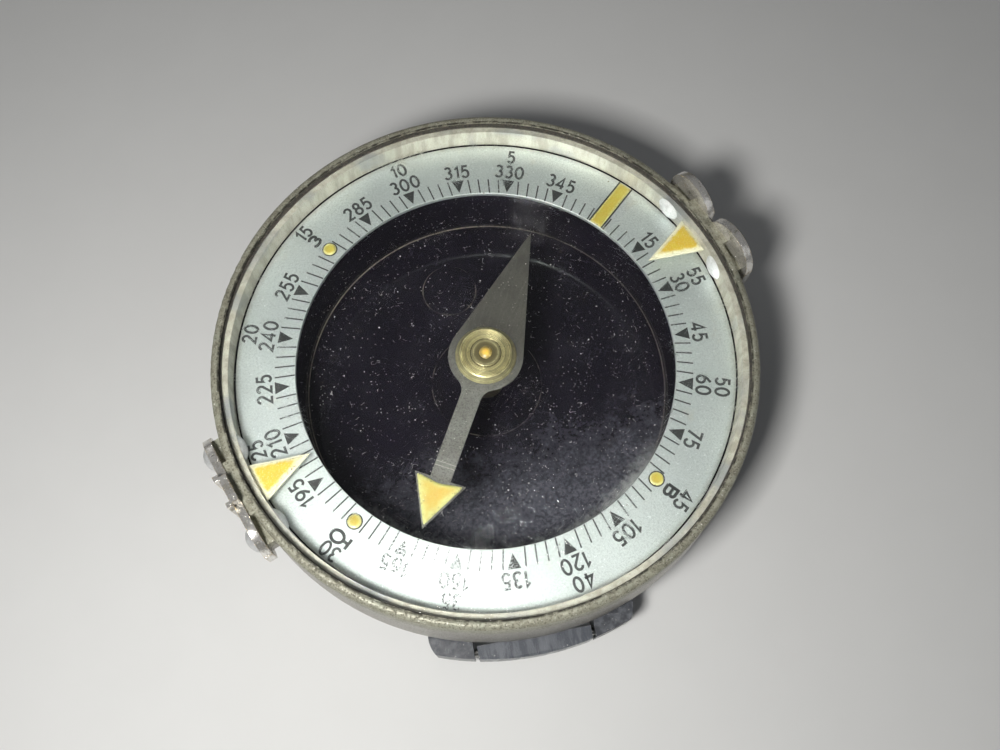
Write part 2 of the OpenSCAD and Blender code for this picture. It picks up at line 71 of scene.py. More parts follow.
# Camera, in millimetres of the CAD frame
CAMERA_AT = (-4.36, -31.85, 93.79)
CAMERA_AIM = (0.82, -2.90, 14.0)
CAMERA_LENS = 34.05
SENSOR_WIDTH = 36
CLIP_START = 0.002          # in metres

# Dial print, radii in millimetres
PRINT_AT = (-0.2, -0.1)     # the print lies this far off the middle of the dial
TICK_STEP = 3
TICK_OUT_R = 19.58
TICK_W = 0.14
MAJOR_STEP = 15
MAJOR_IN_R = 18.2
MAJOR_W = 1.2
INNER_BASE_R = 19.92
INNER_HEIGHT = 1.29
OUTER_BASE_R = 21.69
OUTER_HEIGHT = 1.24
STROKE = 0.24
LETTER_BASE_R = 20.38
LETTER_HEIGHT = 1.05
LETTER_STROKE = 0.29
DIGIT_GAP = 0.30            # between the centre lines of two digits, as a share of the height
INK_LIFT = 0.008            # how far the ink stands above the dial
INK_ROOT = 0.002            # how far it reaches into the dial
INK_STEP = 0.002            # triangles stand this much higher than ticks, and outlines twice that
WASHED_OUT_AT = (-7.5, -20.0)    # painted light: where the ink is painted paler, washed out by the lamp's glare, and how far around
WASHED_OUT_R = 9.5
LETTERS = {90: "B", 180: "U", 270: "Z"}     # east, south and west, in the glyph table below

# Case, chamber and needle cap, in millimetres
CHAMBER_GAP = 0.15          # the dial's inner edge stands this far inside the chamber's wall
FLOOR_BAND = (0.6, 0.8)     # the floor's dust, and the light painted at its wall, fade out between these heights above the floor
BOSS_R = 5.4
MARK_R = 2.7
MARK_AT = (11.0, 101.0)     # the round mark's distance and direction, in millimetres and degrees
RUBBED_R = 24.0             # outside this the moulding is rubbed grey
CROWN_R = 1.39              # groove round the cap's crown, painted darker as shade
CUP_R = 0.78                # recess round the cap's jewel, painted darker as shade

# Luminous paint
POOL_LIP = 0.03             # height of a pool's edge, in millimetres
POOL_SPREAD = 1.14          # the pointers' pools are this many times as large as their CAD nodes
CORNER_CUT = 1.6            # a corner's rounding starts this many radii from it

# Stage
FLOOR_HALF = 0.6            # half the floor's width, in metres
LAMPS = {                   # direction, distance and size in millimetres, power, colour
    "key": ((-30, -38, 85), 118, 22, 0.118, (1.0, 0.99, 0.965)),
    "fill": ((70, -60, 55), 420, 240, 0.07, (0.96, 0.98, 1.0)),
    "back": ((-60, 90, 60), 420, 200, 0.06, (1.0, 1.0, 1.0)),
}
WORLD_COLOUR = (0.92, 0.95, 1.0, 1.0)
WORLD_STRENGTH = 0.07


# ---- places taken from the frame ----

def low(node):
    """Lowest corner of a CAD node's box, in millimetres."""
    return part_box(node)[0] / MM


def high(node):
    """Highest corner of a CAD node's box, in millimetres."""
    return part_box(node)[1] / MM


def points_of(node):
    """The CAD node's mesh points, in millimetres."""
    return [v.co / MM for v in frame["nodes"][node].data.vertices]


def reach(point):
    return math.hypot(point[0], point[1])


def heading(point):
    return math.atan2(point[1], point[0])


def box_middle(node):
    return (low(node) + high(node)) / 2


DIAL_TOP = high("dial")[2]
INK_FOOT = DIAL_TOP - INK_ROOT
DIAL_IN_R = min(reach(p) for p in points_of("dial"))
DIAL_OUT_R = high("dial")[0]
CHAMBER_R = DIAL_IN_R + CHAMBER_GAP
FLOOR_Z = min(p.z for p in points_of("case") if abs(reach(p) - CHAMBER_R) < 0.02)
ZERO = heading(box_middle("zero_bar"))


# ---- shapes ----

def turned(point, angle):
    """A point (x, y) turned about the compass's axis."""
    c, s = math.cos(angle), math.sin(angle)
    return (point[0] * c - point[1] * s, point[0] * s + point[1] * c)


def arc(centre, radii, start, end, count):
    """Points on an elliptic arc, with its angles in degrees."""
    out = []
    for i in range(count + 1):
        a = math.radians(start + (end - start) * i / count)
        out.append((centre[0] + radii[0] * math.cos(a), centre[1] + radii[1] * math.sin(a)))
    return out


def circle(centre, radius):
    return arc(centre, (radius, radius), 0, 350, 35)


class Shape:
    """Collects the points and faces of one piece."""

    def __init__(self):
        self.points = []
        self.faces = []
        self.inward = []

    def loops(self, rings, closed=False, inward=None):
        """Joins rings of equally many points, and caps the first and the last unless closed."""
        first = len(self.points)
        count = len(rings[0])
        for k, ring in enumerate(rings):
            self.points += [tuple(p) for p in ring]
            self.inward += [inward[k] if inward else 0.0] * count
        steps = len(rings) if closed else len(rings) - 1
        for k in range(steps):
            a = first + k * count
            b = first + (k + 1) % len(rings) * count
            for i in range(count):
                j = (i + 1) % count
                self.faces.append((a + i, a + j, b + j, b + i))
        if not closed:
            last = first + (len(rings) - 1) * count
            self.faces.append(tuple(range(first + count - 1, first - 1, -1)))
            self.faces.append(tuple(range(last, last + count)))

    def prism(self, outline, z0, z1):
        """A flat plate with that anticlockwise outline."""
        self.loops([[(x, y, z) for x, y in outline] for z in (z0, z1)])

    def lathe(self, profile, count=192, closed=False):
        """Turns a profile of (radius, height) about the axis."""
        around = [2 * math.pi * i / count for i in range(count)]
        self.loops([[(r * math.cos(a), r * math.sin(a), z) for a in around] for r, z in profile], closed)

    def stroke(self, line, width, z0, z1, loop=False):
        """A ribbon of that width along a line of (x, y) points, mitred at its corners."""
        points = [Vector(p) for p in line]
        count = len(points)
        left, right = [], []
        for i, p in enumerate(points):
            into = (p - points[i - 1]) if i or loop else (points[1] - p)
            out = (points[(i + 1) % count] - p) if i < count - 1 or loop else into
            side = Vector((-into.y, into.x)).normalized()
            other = Vector((-out.y, out.x)).normalized()
            middle = (side + other).normalized()
            offset = middle * (width / 2 / max(0.5, middle.dot(side)))
            left.append(p + offset)
            right.append(p - offset)
        rings = []
        for a, b in zip(right, left):
            rings.append([(a.x, a.y, z0), (a.x, a.y, z1), (b.x, b.y, z1), (b.x, b.y, z0)])
        self.loops(rings, closed=loop)

    def piece(self, name, body, look, slot, replaces=(), smooth=True):
        """Makes the Blender object, on its body, with its material."""
        mesh = bpy.data.meshes.new(name)
        mesh.from_pydata([(x * MM, y * MM, z * MM) for x, y, z in self.points], [], self.faces)
        if any(self.inward):
            layer = mesh.attributes.new("inward", "FLOAT", "POINT")
            layer.data.foreach_set("value", self.inward)
        bm = bmesh.new()
        bm.from_mesh(mesh)
        bmesh.ops.recalc_face_normals(bm, faces=bm.faces)
        bm.to_mesh(mesh)
        bm.free()
        if smooth:
            shade(mesh)
        return dress(new_object(name, mesh), body, look, replaces)


def new_object(name, data):
    obj = bpy.data.objects.new(name, data)
    bpy.context.scene.collection.objects.link(obj)
    return obj


def shade(mesh):
    """Smooth shading, kept sharp at hard corners."""
    mesh.polygons.foreach_set("use_smooth", [True] * len(mesh.polygons))
    mesh.set_sharp_from_angle(angle=SMOOTH_ANGLE)


def dress(obj, body, look, replaces=()):
    obj.data.materials.clear()
    obj.data.materials.append(look)
    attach(obj, body)
    if replaces:
        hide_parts(*replaces)
    return obj


def soften(node, width, look, segments=2):
    """A copy of a CAD node with its hard edges rounded, which stands for the node."""
    source = frame["nodes"][node]
    mesh = source.data.copy()
    bm = bmesh.new()
    bm.from_mesh(mesh)
    bmesh.ops.remove_doubles(bm, verts=bm.verts, dist=0.0005 * MM)
    bmesh.ops.dissolve_limit(bm, angle_limit=math.radians(0.6), verts=bm.verts, edges=bm.edges)
    bm.to_mesh(mesh)
    bm.free()
    piece = new_object(node + "_finished", mesh)
    bevel = piece.modifiers.new("edges", "BEVEL")
    bevel.width = width * MM
    bevel.segments = segments
    bevel.limit_method = "ANGLE"
    bevel.angle_limit = SMOOTH_ANGLE
    bevel.miter_outer = "MITER_ARC"
    piece.modifiers.new("normals", "WEIGHTED_NORMAL").keep_sharp = True
    mesh.polygons.foreach_set("use_smooth", [True] * len(mesh.polygons))
    apply_modifiers(piece)
    return dress(piece, source["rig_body"], look, [node])


def apply_modifiers(obj):
    bpy.context.view_layer.update()
    seen = obj.evaluated_get(bpy.context.evaluated_depsgraph_get())
    mesh = bpy.data.meshes.new_from_object(seen)
    obj.modifiers.clear()
    obj.data = mesh


def paint_node(node, look):
    """Gives a CAD node, whose shape is right, its finished material."""
    obj = frame["nodes"][node]
    obj.data.materials.clear()
    obj.data.materials.append(look)


# ---- material building ----

class Look:
    """A material, with short ways to add nodes. Sizes are in millimetres on the object."""

    def __init__(self, name, **sockets):
        self.material = bpy.data.materials.new(name)
        self.material.use_nodes = True
        self.nodes = self.material.node_tree.nodes
        self.links = self.material.node_tree.links
        self.shader = self.nodes["Principled BSDF"]
        for key, value in sockets.items():
            self.shader.inputs[key.replace("_", " ")].default_value = value
        place = self.add("ShaderNodeTexCoord").outputs["Object"]
        self.place = self.scaled(place, (1000, 1000, 1000))

    def add(self, kind, **settings):
        node = self.nodes.new(kind)
        for key, value in settings.items():
            setattr(node, key, value)
        return node

    def feed(self, socket, value):
        if isinstance(value, bpy.types.NodeSocket):
            self.links.new(value, socket)
        else:
            socket.default_value = value

    def drive(self, socket, value):
        """Feeds one of the shader's own sockets."""
        self.feed(self.shader.inputs[socket], value)

    def surface(self, colour, roughness):
        self.drive("Base Color", colour)
        self.drive("Roughness", roughness)

    def scaled(self, vector, factors):
        node = self.add("ShaderNodeVectorMath", operation="MULTIPLY")
        self.feed(node.inputs[0], vector)
        node.inputs[1].default_value = factors
        return node.outputs[0]

    def noise(self, size, detail=4.0, roughness=0.55, place=None, distortion=0.0):
        node = self.add("ShaderNodeTexNoise")
        self.feed(node.inputs["Vector"], place or self.place)
        node.inputs["Scale"].default_value = 1 / size
        node.inputs["Detail"].default_value = detail
        node.inputs["Roughness"].default_value = roughness
        node.inputs["Distortion"].default_value = distortion
        return node.outputs["Fac"]

    def span(self, value, low_in, high_in, low_out=0.0, high_out=1.0):
        """Carries a value smoothly from one range to another, and holds it outside."""
        node = self.add("ShaderNodeMapRange", interpolation_type="SMOOTHSTEP")
        self.feed(node.inputs["Value"], value)
        node.inputs["From Min"].default_value = low_in
        node.inputs["From Max"].default_value = high_in
        node.inputs["To Min"].default_value = low_out
        node.inputs["To Max"].default_value = high_out
        return node.outputs["Result"]

    def math(self, operation, a, b=0.0):
        node = self.add("ShaderNodeMath", operation=operation)
        self.feed(node.inputs[0], a)
        self.feed(node.inputs[1], b)
        return node.outputs[0]

    def mix(self, factor, a, b):
        node = self.add("ShaderNodeMix", data_type="RGBA")
        self.feed(node.inputs["Factor"], factor)
        self.feed(node.inputs[6], a)
        self.feed(node.inputs[7], b)
        return node.outputs[2]

    def most(self, *masks):
        """The largest of several masks."""
        out = masks[0]
        for mask in masks[1:]:
            out = self.math("MAXIMUM", out, mask)
        return out

    def product(self, *masks):
        out = masks[0]
        for mask in masks[1:]:
            out = self.math("MULTIPLY", out, mask)
        return out

    def apart(self, value, place):
        """How far a value is from a place, either way."""
        return self.math("ABSOLUTE", self.math("SUBTRACT", value, place))

    def band(self, value, place, core, edge, strength):
        """A mask with that strength near a place, which fades out between core and edge."""
        return self.span(self.apart(value, place), core, edge, strength, 0.0)

    def ragged(self, size, detail, roughness, reach_mm):
        """Noise centred on zero, to waver an edge by up to half that reach either way."""
        wave = self.math("SUBTRACT", self.noise(size, detail, roughness), 0.5)
        return self.math("MULTIPLY", wave, reach_mm)

    def parts(self):
        """X, Y and Z on the object, in millimetres."""
        node = self.add("ShaderNodeSeparateXYZ")
        self.feed(node.inputs[0], self.place)
        return node.outputs

    def radius(self, centre=(0.0, 0.0)):
        """Distance in plan from a point, which is the compass's axis by default."""
        x, y, _ = self.parts()
        dx = self.math("SUBTRACT", x, centre[0])
        dy = self.math("SUBTRACT", y, centre[1])
        squares = self.math("ADD", self.math("MULTIPLY", dx, dx), self.math("MULTIPLY", dy, dy))
        return self.math("SQRT", squares)

    def ring_place(self, size):
        """A place that changes only with the distance from the axis, one unit for each size."""
        node = self.add("ShaderNodeCombineXYZ")
        self.feed(node.inputs[0], self.math("DIVIDE", self.radius(), size))
        return node.outputs[0]

    def specks(self, size, share, spread=0.35):
        """A mask of scattered specks: share of the cells hold one, of up to that part of the cell."""
        node = self.add("ShaderNodeTexVoronoi")
        self.feed(node.inputs["Vector"], self.place)
        node.inputs["Scale"].default_value = 1 / size
        near = self.span(node.outputs["Distance"], spread * 0.5, spread, 1.0, 0.0)
        colour = self.add("ShaderNodeSeparateColor")
        self.feed(colour.inputs[0], node.outputs["Color"])
        chosen = self.math("LESS_THAN", colour.outputs[0], share)
        return self.product(near, chosen)

    def scratches(self, length, spacing, turn):
        """A mask of fine straight scratches, which run at that angle and fade in and out."""
        node = self.add("ShaderNodeVectorRotate", rotation_type="Z_AXIS")
        self.feed(node.inputs["Vector"], self.place)
        node.inputs["Angle"].default_value = math.radians(turn)
        place = self.scaled(node.outputs[0], (1 / length, 1 / spacing, 1 / length))
        lines = self.noise(1.0, 2.0, 0.5, place)
        return self.band(lines, 0.56, 0.0, 0.006, 1.0)

    def edges(self, width):
        """A mask that is 1 on edges, from how a rounded normal differs from the real one."""
        rounded = self.add("ShaderNodeBevel", samples=6)
        rounded.inputs["Radius"].default_value = width * MM
        real = self.add("ShaderNodeNewGeometry").outputs["Normal"]
        dot = self.add("ShaderNodeVectorMath", operation="DOT_PRODUCT")
        self.feed(dot.inputs[0], rounded.outputs[0])
        self.feed(dot.inputs[1], real)
        return self.span(dot.outputs["Value"], 0.86, 0.985, 1.0, 0.0)

    def bump(self, height, depth, strength=1.0):
        """Bumps of that depth, in millimetres. A second call adds to the first."""
        node = self.add("ShaderNodeBump")
        node.inputs["Strength"].default_value = strength
        node.inputs["Distance"].default_value = depth * MM
        self.feed(node.inputs["Height"], height)
        normal = self.shader.inputs["Normal"]
        if normal.is_linked:
            self.feed(node.inputs["Normal"], normal.links[0].from_socket)
        self.feed(normal, node.outputs[0])


def rgb(r, g, b):
    return (r, g, b, 1.0)


# ---- materials ----

def bakelite():
    """Glossy black moulding with dust, smudges, a few fibres and fine scratches; with painted shadow
    round the boss, painted highlight lines on the chamber's floor, and the dust at the near wall painted
    brighter as painted light.
    """
    look = Look("case_bakelite", Specular_IOR_Level=0.45)
    smudge = look.span(look.noise(4.5, 5.0, 0.6, distortion=0.6), 0.42, 0.72)
    colour = look.mix(smudge, rgb(0.0045, 0.0036, 0.0065), rgb(0.0085, 0.0075, 0.0115))
    brown = look.product(look.span(look.noise(1.1, 6.0, 0.65), 0.58, 0.76), smudge, 0.3)
    colour = look.mix(brown, colour, rgb(0.075, 0.062, 0.040))
    colour = look.mix(film(look), colour, rgb(0.076, 0.078, 0.092))
    # Drifted dust, partly painted light: its pale colour is raised to make up for the light that the
    # wall's shadow keeps off.
    colour = look.mix(drifted_dust(look), colour, rgb(0.30, 0.31, 0.30))
    # Painted shadow: a dark band just inside the edge of the boss.
    boss_shade = look.band(look.radius(), BOSS_R - 0.55, 0.3, 0.6, 0.85)
    colour = look.mix(boss_shade, colour, rgb(0.004, 0.0034, 0.005))
    # Painted highlights along the edges on the chamber's floor.
    colour = look.mix(floor_lines(look), colour, rgb(0.150, 0.135, 0.105))
    scratch = look.most(look.scratches(5.0, 0.22, 25), look.scratches(7.0, 0.3, 118))
    scratch = look.product(scratch, look.span(look.noise(3.0, 2.0), 0.52, 0.62), 0.2)
    colour = look.mix(scratch, colour, rgb(0.16, 0.16, 0.18))
    outside = look.span(look.radius(), RUBBED_R, RUBBED_R + 0.3)
    rub = look.span(look.noise(0.7, 5.0, 0.65), 0.35, 0.7)
    rubbed = look.mix(rub, rgb(0.060, 0.064, 0.074), rgb(0.150, 0.158, 0.175))
    colour = look.mix(look.product(outside, 0.85), colour, rubbed)
    dust = dust_and_lint(look)
    colour = look.mix(dust, colour, rgb(0.50, 0.49, 0.47))
    rough = look.math("ADD", look.span(smudge, 0.0, 1.0, 0.07, 0.20), look.product(dust, 0.6))
    look.surface(colour, look.math("ADD", rough, look.product(outside, 0.2)))
    look.bump(look.noise(1.6, 3.0), 0.004)
    look.bump(dust, 0.010)
    return look.material


def dust_and_lint(look):
    """A mask of discrete specks of three sizes, gathered in drifts, and a few fibres."""
    coarse = look.specks(1.1, 0.30, 0.085)
    middle = look.specks(0.55, 0.22, 0.13)
    small = look.product(look.specks(0.28, 0.30, 0.22), 0.5)
    drift = look.span(look.noise(4.5, 3.0, 0.6), 0.40, 0.62, 0.08, 1.0)
    loose = look.product(look.most(middle, small), drift)
    return look.most(coarse, loose, fibres(look))


def film(look):
    """A mask of the thin grey film of dust on the lower half of the chamber's floor."""
    x, y, _ = look.parts()
    slope = look.math("SUBTRACT", look.product(x, 0.12), y)
    lower = look.span(look.math("ADD", slope, look.ragged(1.6, 6.0, 0.7, 16.0)), 4.0, 17.0, 0.0, 0.95)
    streaks = look.span(look.noise(0.35, 4.0, 0.6), 0.34, 0.66, 0.35, 1.0)
    return look.product(lower, streaks, on_floor(look))


def drifted_dust(look):
    """A mask of the thicker dust that lies against the chamber's wall on the same side; where the wall's
    shadow falls on it, it is painted brighter as painted light.
    """
    radius = look.math("ADD", look.radius(), look.ragged(0.8, 5.0, 0.65, 3.0))
    outer = look.span(radius, CHAMBER_R - 1.9, CHAMBER_R - 0.2, 0.0, 0.8)
    near = look.span(look.parts()[1], -14.0, -8.0, 1.0, 0.0)
    return look.product(outer, near, on_floor(look))


def on_floor(look):
    """A mask that is 1 at the height of the chamber's floor."""
    return look.span(look.parts()[2], FLOOR_Z + FLOOR_BAND[0], FLOOR_Z + FLOOR_BAND[1], 1.0, 0.0)


def floor_lines(look):
    """Painted highlights: thin pale lines on the chamber's floor at its wall, round the boss's edge and
    round the mark's edge, where these edges catch the light; the one at the wall fades away from the
    lamp.
    """
    x, _, z = look.parts()
    wall = look.band(look.radius(), CHAMBER_R - 0.12, 0.02, 0.10, 0.7)
    wall = look.product(wall, look.span(x, 2.0, 13.0, 1.0, 0.4))
    boss = look.band(look.radius(), BOSS_R + 0.1, 0.01, 0.08, 0.4)
    mark_centre = turned((MARK_AT[0], 0), math.radians(MARK_AT[1]))
    mark = look.band(look.radius(mark_centre), MARK_R + 0.05, 0.01, 0.09, 0.6)
    broken = look.span(look.noise(1.8, 3.0), 0.42, 0.58, 0.15, 1.0)
    lines = look.most(wall, look.product(look.most(boss, mark), broken))
    return look.product(lines, look.span(z, FLOOR_Z + 0.05, FLOOR_Z + 0.5, 1.0, 0.0))


def fibres(look):
    """A mask of short curled lint fibres."""
    curls = look.band(look.noise(0.9, 1.0, 0.4), 0.5, 0.0, 0.009, 1.0)
    return look.product(curls, look.span(look.noise(0.6, 1.0, 0.4), 0.63, 0.67, 0.0, 0.6))


def bar_bakelite():
    """The same moulding outside: greyer, rubbed and scratched."""
    look = Look("bar_bakelite", Coat_Weight=0.2, Coat_Roughness=0.2)
    smudge = look.span(look.noise(1.0, 3.0, 0.6, look.scaled(look.place, (1.6, 0.28, 0.5))), 0.30, 0.75)
    colour = look.mix(smudge, rgb(0.088, 0.096, 0.112), rgb(0.142, 0.152, 0.172))
    lines = look.most(look.scratches(2.2, 0.07, 92), look.scratches(3.0, 0.10, 81))
    colour = look.mix(look.product(lines, 0.75), colour, rgb(0.46, 0.47, 0.50))
    worn = look.product(look.edges(0.12), look.span(look.noise(0.5, 3.0), 0.4, 0.65))
    colour = look.mix(worn, colour, rgb(0.2, 0.2, 0.2))
    colour = look.mix(look.specks(0.35, 0.12, 0.2), colour, rgb(0.5, 0.5, 0.48))
    look.surface(colour, look.span(smudge, 0.0, 1.0, 0.22, 0.45))
    look.bump(lines, 0.01)
    look.bump(look.noise(0.5, 4.0), 0.006)
    return look.material


def enamel():
    look = Look("cover_enamel", Coat_Weight=0.1)
    grain = look.noise(0.25, 5.0, 0.6)
    colour = look.mix(look.span(grain, 0.4, 0.7), rgb(0.020, 0.020, 0.022), rgb(0.050, 0.050, 0.052))
    rubbed = look.product(look.edges(0.15), look.span(look.noise(0.8, 4.0), 0.35, 0.6))
    colour = look.mix(rubbed, colour, rgb(0.45, 0.43, 0.40))
    look.surface(colour, look.span(grain, 0.3, 0.8, 0.32, 0.55))
    look.bump(grain, 0.02)
    return look.material


def small_steel():
    look = Look("small_steel", Metallic=1.0)
    grain = look.noise(0.12, 4.0, 0.6)
    cloud = look.span(look.noise(0.9, 4.0), 0.4, 0.7)
    colour = look.mix(cloud, rgb(0.50, 0.50, 0.49), rgb(0.34, 0.32, 0.29))
    look.surface(colour, look.span(grain, 0.3, 0.7, 0.25, 0.45))
    look.bump(grain, 0.006)
    return look.material


def dial_metal():
    """Silver-white dial with a fine grain, a soft patina and a few specks, and a painted shadow along its
    outer edge, where the ring shades it.
    """
    look = Look("dial_silver", Metallic=0.8)
    patch = look.span(look.noise(9.0, 3.0, 0.5), 0.35, 0.68)
    colour = look.mix(patch, rgb(0.70, 0.765, 0.735), rgb(0.60, 0.655, 0.635))
    grain = look.noise(0.17, 4.0, 0.65)
    colour = look.mix(look.span(grain, 0.44, 0.64, 0.0, 0.45), colour, rgb(0.40, 0.45, 0.44))
    bright = look.span(look.noise(0.22, 2.0, 0.5), 0.66, 0.72, 0.0, 0.7)
    colour = look.mix(bright, colour, rgb(0.90, 0.95, 0.94))
    dark = look.most(look.specks(1.1, 0.09, 0.10), look.specks(2.6, 0.12, 0.07))
    colour = look.mix(look.product(dark, 0.75), colour, rgb(0.16, 0.14, 0.10))
    yellowed = look.span(look.noise(2.6, 4.0, 0.6), 0.6, 0.78, 0.0, 0.4)
    colour = look.mix(yellowed, colour, rgb(0.62, 0.60, 0.50))
    # Painted shadow: a ragged dark band along the dial's outer edge, under the ring.
    rim_shade = look.span(look.radius(), DIAL_OUT_R - 0.55, DIAL_OUT_R - 0.05, 0.0, 0.75)
    colour = look.mix(look.product(rim_shade, look.noise(0.7, 3.0)), colour, rgb(0.30, 0.29, 0.25))
    look.surface(colour, look.span(grain, 0.3, 0.7, 0.36, 0.52))
    look.bump(grain, 0.010)
    return look.material


def ink(name, shade_of_grey):
    """Printed black, thin and worn in places so that the dial shows through, and painted paler round one
    place as painted light, where the lamp's glare washes it out.
    """
    look = Look(name)
    # Painted light: the ink is painted paler round one place, where the lamp's glare washes it out.
    washed_out = look.span(look.radius(WASHED_OUT_AT), WASHED_OUT_R * 0.45, WASHED_OUT_R, 1.0, 0.0)
    flakes = look.math("ADD", look.noise(0.16, 4.0, 0.6), look.product(washed_out, 0.13))
    worn = look.span(flakes, 0.56, 0.68)
    patch = look.most(look.span(look.noise(3.4, 3.0, 0.5), 0.54, 0.72, 0.12, 0.8), washed_out)
    black = rgb(shade_of_grey, shade_of_grey * 1.15, shade_of_grey * 1.1)
    colour = look.mix(look.product(worn, patch), black, rgb(0.58, 0.62, 0.61))
    look.surface(colour, look.span(worn, 0.0, 1.0, 0.5, 0.38))
    return look.material


def luminous(name, rim_colour, core_colour, rim_width):
    """Aged luminous paint: paler at its edge, deeper yellow where it pooled, with dark specks."""
    look = Look(name, Coat_Weight=0.35, Coat_Roughness=0.22)
    inward = look.add("ShaderNodeAttribute", attribute_name="inward").outputs["Fac"]
    inward = look.math("ADD", inward, look.ragged(0.5, 3.0, 0.55, rim_width * 1.3))
    deep = rgb(core_colour[0], core_colour[1] * 0.86, core_colour[2] * 0.75)
    core = look.mix(look.span(look.noise(0.75, 4.0, 0.6), 0.35, 0.68), deep, core_colour)
    colour = look.mix(look.span(inward, 0.02, rim_width), rim_colour, core)
    colour = look.mix(look.span(look.noise(0.13, 3.0), 0.5, 0.7, 0.0, 0.35), colour, rim_colour)
    dark = look.most(look.specks(0.30, 0.60, 0.34), look.specks(0.20, 0.50, 0.40))
    near_rim = look.span(inward, 0.0, rim_width * 0.9, 1.0, 0.12)
    patch = look.span(look.noise(1.0, 2.0), 0.42, 0.58, 0.2, 1.0)
    dark = look.product(dark, near_rim, patch)
    colour = look.mix(dark, colour, rgb(0.10, 0.07, 0.03))
    look.surface(colour, look.span(look.noise(0.3, 3.0), 0.3, 0.7, 0.30, 0.55))
    look.bump(look.noise(0.35, 4.0, 0.6), 0.03)
    return look.material


def turned_brass(name, bright, dull):
    """Dull brass with the fine rings left by the lathe, and painted shade in the groove round the crown
    and in the recess round the jewel.
    """
    look = Look(name, Metallic=0.7)
    rings = look.noise(1.0, 3.0, 0.6, look.ring_place(0.22))
    aged = look.span(look.noise(0.8, 4.0, 0.6), 0.35, 0.7)
    colour = look.mix(aged, bright, dull)
    groove = look.mix(0.55, dull, rgb(0.05, 0.045, 0.02))
    colour = look.mix(look.span(rings, 0.44, 0.56, 0.0, 0.8), colour, groove)
    spots = look.span(look.noise(0.25, 4.0), 0.56, 0.7, 0.0, 0.5)
    colour = look.mix(spots, colour, rgb(0.13, 0.12, 0.06))
    # Painted shade: darker in the groove round the crown and in the recess round the jewel.
    crown = look.band(look.radius(), CROWN_R, 0.03, 0.13, 0.85)
    cup = look.band(look.radius(), CUP_R, 0.20, 0.40, 0.8)
    colour = look.mix(look.most(crown, cup), colour, rgb(0.115, 0.095, 0.042))
    look.surface(colour, look.span(rings, 0.35, 0.65, 0.24, 0.44))
    look.bump(rings, 0.02)
    return look.material


def amber():
    look = Look("amber", Coat_Weight=0.6, Coat_Roughness=0.05)
    swirl = look.noise(0.3, 3.0, 0.5)
    # Painted light: the jewel is painted glowing in its middle and darker towards its edge, as light
    # shining through it.
    glow = look.mix(look.span(swirl, 0.35, 0.7), rgb(0.62, 0.42, 0.07), rgb(0.55, 0.32, 0.045))
    edge = look.span(look.radius(), 0.16, 0.5)
    colour = look.mix(edge, glow, rgb(0.20, 0.15, 0.045))
    look.surface(colour, look.span(swirl, 0.3, 0.7, 0.18, 0.3))
    return look.material


def worn_nickel(name, plate, brass_share, pit_depth):
    """Nickel plate over brass, tarnished in patches, pitted, and worn to brass at its edges."""
    look = Look(name, Metallic=0.75)
    cloud = look.span(look.noise(1.7, 6.0, 0.65, distortion=0.4), 0.46, 0.72)
    mottle = look.span(look.noise(0.4, 5.0, 0.65), 0.4, 0.66)
    tarnish = look.mix(mottle, rgb(0.20, 0.185, 0.14), rgb(0.38, 0.34, 0.25))
    colour = look.mix(cloud, plate, tarnish)
    bare = look.product(look.edges(0.16), look.span(look.noise(0.6, 4.0), 0.38, 0.6))
    patch = look.span(look.noise(0.9, 5.0, 0.6), 0.72 - brass_share, 0.80 - brass_share, 0.0, 0.8)
    colour = look.mix(look.most(bare, patch), colour, rgb(0.74, 0.55, 0.27))
    glints = look.most(look.specks(0.5, 0.5, 0.2), look.span(look.noise(0.22, 2.0), 0.62, 0.70))
    colour = look.mix(glints, colour, rgb(0.95, 0.94, 0.90))
    pits = look.most(look.specks(0.34, 0.3, 0.26), look.span(look.noise(0.13, 3.0), 0.6, 0.7))
    colour = look.mix(look.product(pits, 0.7), colour, rgb(0.10, 0.09, 0.06))
    rough = look.math("ADD", look.span(cloud, 0.0, 1.0, 0.16, 0.38), look.product(pits, 0.25))
    look.surface(colour, rough)
    look.bump(look.math("SUBTRACT", look.noise(0.3, 5.0, 0.6), pits), pit_depth)
    return look.material


def matt_plate(look):
    """Colour of the ring's plate high up."""
    cloud = look.span(look.noise(0.7, 6.0, 0.7, distortion=0.5), 0.36, 0.66)
    matt = look.mix(cloud, rgb(0.43, 0.425, 0.335), rgb(0.27, 0.26, 0.195))
    return look.mix(look.span(look.noise(3.5, 4.0), 0.5, 0.72), matt, rgb(0.36, 0.37, 0.29))


def polished_plate(look):
    """Colour of the ring's plate lower down."""
    brushed = look.noise(1.0, 4.0, 0.6, look.scaled(look.place, (0.35, 0.35, 6.0)))
    plate = look.mix(look.span(brushed, 0.38, 0.66), rgb(0.36, 0.345, 0.31), rgb(0.30, 0.285, 0.25))
    return look.mix(look.span(look.noise(0.9, 5.0, 0.65), 0.54, 0.74), plate, rgb(0.21, 0.195, 0.16))


def ring_seam(look, top):
    """A mask of the dark, broken line just outside the ring's lip."""
    lip = min(reach(p) for p in points_of("bezel_ring") if p.z > top - 0.1)
    seam = look.span(look.math("SUBTRACT", look.radius(), lip), 0.06, 0.20, 1.0, 0.0)
    return look.product(seam, look.span(look.noise(0.8, 4.0, 0.6), 0.40, 0.56, 0.25, 0.95))


